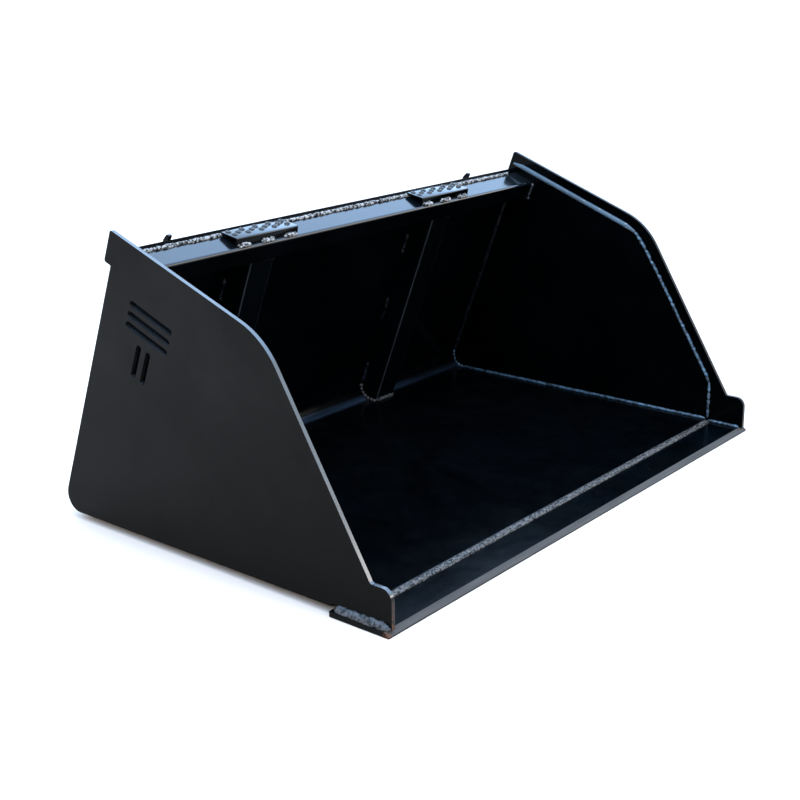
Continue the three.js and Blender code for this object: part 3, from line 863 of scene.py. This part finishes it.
def step_body(x):
    bm = bmesh.new()
    outline = tread_profile()
    ends = []
    for edge in (x - TREAD_LENGTH / 2, x + TREAD_LENGTH / 2):
        ends.append([bm.verts.new(on_tread(edge, a, h)) for a, h in outline])
    count = len(outline)
    for i in range(count):
        j = (i + 1) % count
        bm.faces.new((ends[0][i], ends[0][j], ends[1][j], ends[1][i]))
    bm.faces.new(ends[0][::-1])
    bm.faces.new(ends[1])
    bmesh.ops.recalc_face_normals(bm, faces=bm.faces)
    broken_edges(bm, STEP_BREAK, 40)
    return bm


def grip_lug(bm, x, a):
    """A punched button: steep flank, rounded rim and a dished top."""
    rings = []
    for radius, height in LUG_PROFILE[:-1]:
        ring = []
        for k in range(LUG_SIDES):
            angle = 2 * math.pi * k / LUG_SIDES
            ring.append(bm.verts.new(on_tread(x + radius * math.cos(angle),
                                              a + radius * math.sin(angle), height)))
        rings.append(ring)
    tip = bm.verts.new(on_tread(x, a, LUG_PROFILE[-1][1]))
    for low, high in zip(rings, rings[1:]):
        for k in range(LUG_SIDES):
            m = (k + 1) % LUG_SIDES
            bm.faces.new((low[k], low[m], high[m], high[k]))
    for k in range(LUG_SIDES):
        bm.faces.new((rings[-1][k], rings[-1][(k + 1) % LUG_SIDES], tip))
    bm.faces.new(rings[0][::-1])


def steps():
    for side, x in TREADS.items():
        bm = step_body(x)
        for a, count in LUG_ROWS:
            for i in range(count):
                grip_lug(bm, x + (i - (count - 1) / 2) * LUG_PITCH, a)
        mesh = bpy.data.meshes.new("step_%s_skin" % side)
        bm.to_mesh(mesh)
        bm.free()
        smooth(mesh, 50)
        piece = paint_faces(link("step_%s_skin" % side, mesh, BLACK), tops_with_painted_sheen)
        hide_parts("step_tread_" + side)


# ---------------------------------------------------------------- stage

def floor():
    """Plain and pale, just below the bucket."""
    half_width, drop = 30, 0.0005
    bm = bmesh.new()
    bmesh.ops.create_grid(bm, x_segments=8, y_segments=8, size=half_width)
    bmesh.ops.translate(bm, verts=bm.verts, vec=(0, 0, -drop))
    mesh = bpy.data.meshes.new("studio_floor")
    bm.to_mesh(mesh)
    bm.free()
    g = Graph("pale_floor")
    shade = g.mix(g.noise(1.5, 4), (0.92, 0.78, 0.66, 1), (0.95, 0.8, 0.68, 1))
    mesh.materials.append(g.out(Base_Color=shade, Roughness=0.85))
    ground = bpy.data.objects.new("studio_floor", mesh)
    bpy.context.collection.objects.link(ground)


def area_light(name, at, towards, side, power):
    data = bpy.data.lights.new(name, "AREA")
    data.shape = "SQUARE"
    data.size = side
    data.energy = power
    lamp = bpy.data.objects.new(name, data)
    lamp.location = at
    lamp.rotation_euler = (Vector(towards) - Vector(at)).to_track_quat("-Z", "Y").to_euler()
    bpy.context.collection.objects.link(lamp)


def sky():
    """Pale studio surround with one tall, bright, blue-white screen along the bucket's right, warmer
    towards the front and brightest low down there."""
    world = bpy.data.worlds.new("studio_sky")
    bpy.context.scene.world = world
    world.use_nodes = True
    tree = world.node_tree
    coords = tree.nodes.new("ShaderNodeTexCoord")
    split = tree.nodes.new("ShaderNodeSeparateXYZ")
    tree.links.new(coords.outputs["Generated"], split.inputs["Vector"])

    def fade(axis, low, high):
        """Rises smoothly from 0 at low to 1 at high along one axis of the view direction."""
        made = tree.nodes.new("ShaderNodeMapRange")
        made.interpolation_type = "SMOOTHSTEP"
        tree.links.new(split.outputs[axis], made.inputs["Value"])
        made.inputs["From Min"].default_value = low
        made.inputs["From Max"].default_value = high
        return made.outputs["Result"]

    def product(a, b):
        made = tree.nodes.new("ShaderNodeMath")
        made.operation = "MULTIPLY"
        tree.links.new(a, made.inputs[0])
        tree.links.new(b, made.inputs[1])
        return made.outputs["Value"]

    def blend(factor, a, b):
        made = tree.nodes.new("ShaderNodeMix")
        made.data_type = "RGBA"
        tree.links.new(factor, made.inputs["Factor"])
        for socket, value in ((made.inputs["A"], a), (made.inputs["B"], b)):
            if isinstance(value, bpy.types.NodeSocket):
                tree.links.new(value, socket)
            else:
                socket.default_value = value
        return made.outputs["Result"]

    screen = product(product(fade("X", 0.5, 0.66), fade("X", 0.96, 0.84)), fade("Z", 0.1, 0.26))
    top = fade("Z", 0.35, 0.6)
    fore = fade("Y", -0.38, -0.5)
    low_fore = product(fore, fade("Z", 0.37, 0.3))
    glow = blend(fore, (1.6, 2.4, 3.6, 1), (1.45, 1.75, 2.05, 1))
    glow = blend(low_fore, glow, (6.5, 6.1, 5.6, 1))
    upper = blend(top, (1.25, 1.16, 1.08, 1), (1.35, 1.95, 2.8, 1))
    background = tree.nodes["Background"]
    tree.links.new(blend(screen, upper, glow), background.inputs["Color"])


def lights():
    area_light("overhead", (0.0, 0.2, 4.0), (0, 0, 0), 4, 30)
    area_light("lamp", (-0.6, -0.5, 3.9), (0, 0, 0.4), 0.7, 60)


def camera():
    """At the photograph's viewing angle."""
    azimuth, elevation, roll = math.radians(-50.28), math.radians(16.28), math.radians(-0.65)
    back = Vector((math.sin(azimuth) * math.cos(elevation), -math.cos(azimuth) * math.cos(elevation),
                   math.sin(elevation)))
    right = Vector((math.cos(azimuth), math.sin(azimuth), 0))
    up = back.cross(right)
    turned_right = right * math.cos(roll) + up * math.sin(roll)
    turned_up = up * math.cos(roll) - right * math.sin(roll)
    data = bpy.data.cameras.new("photo_view")
    data.sensor_width, data.lens = 36, 61.9
    data.shift_x, data.shift_y = 0.0146, -0.049
    view = bpy.data.objects.new("photo_view", data)
    turn = Matrix((turned_right, turned_up, back)).transposed().to_4x4()
    at = Vector((-2.5709, FRONT - 1.5095, 1.2393))
    view.matrix_world = Matrix.Translation(at) @ turn
    bpy.context.collection.objects.link(view)
    bpy.context.scene.camera = view


camera()
plates()
steps()
floor_front_weld()
top_rail_welds()
liner_welds()
inner_corner_welds()
rib_welds()
step_welds()
outer_side_welds()
mount_welds()
underside_welds()
floor()
sky()
lights()
bpy.context.scene.view_settings.view_transform = "Standard"
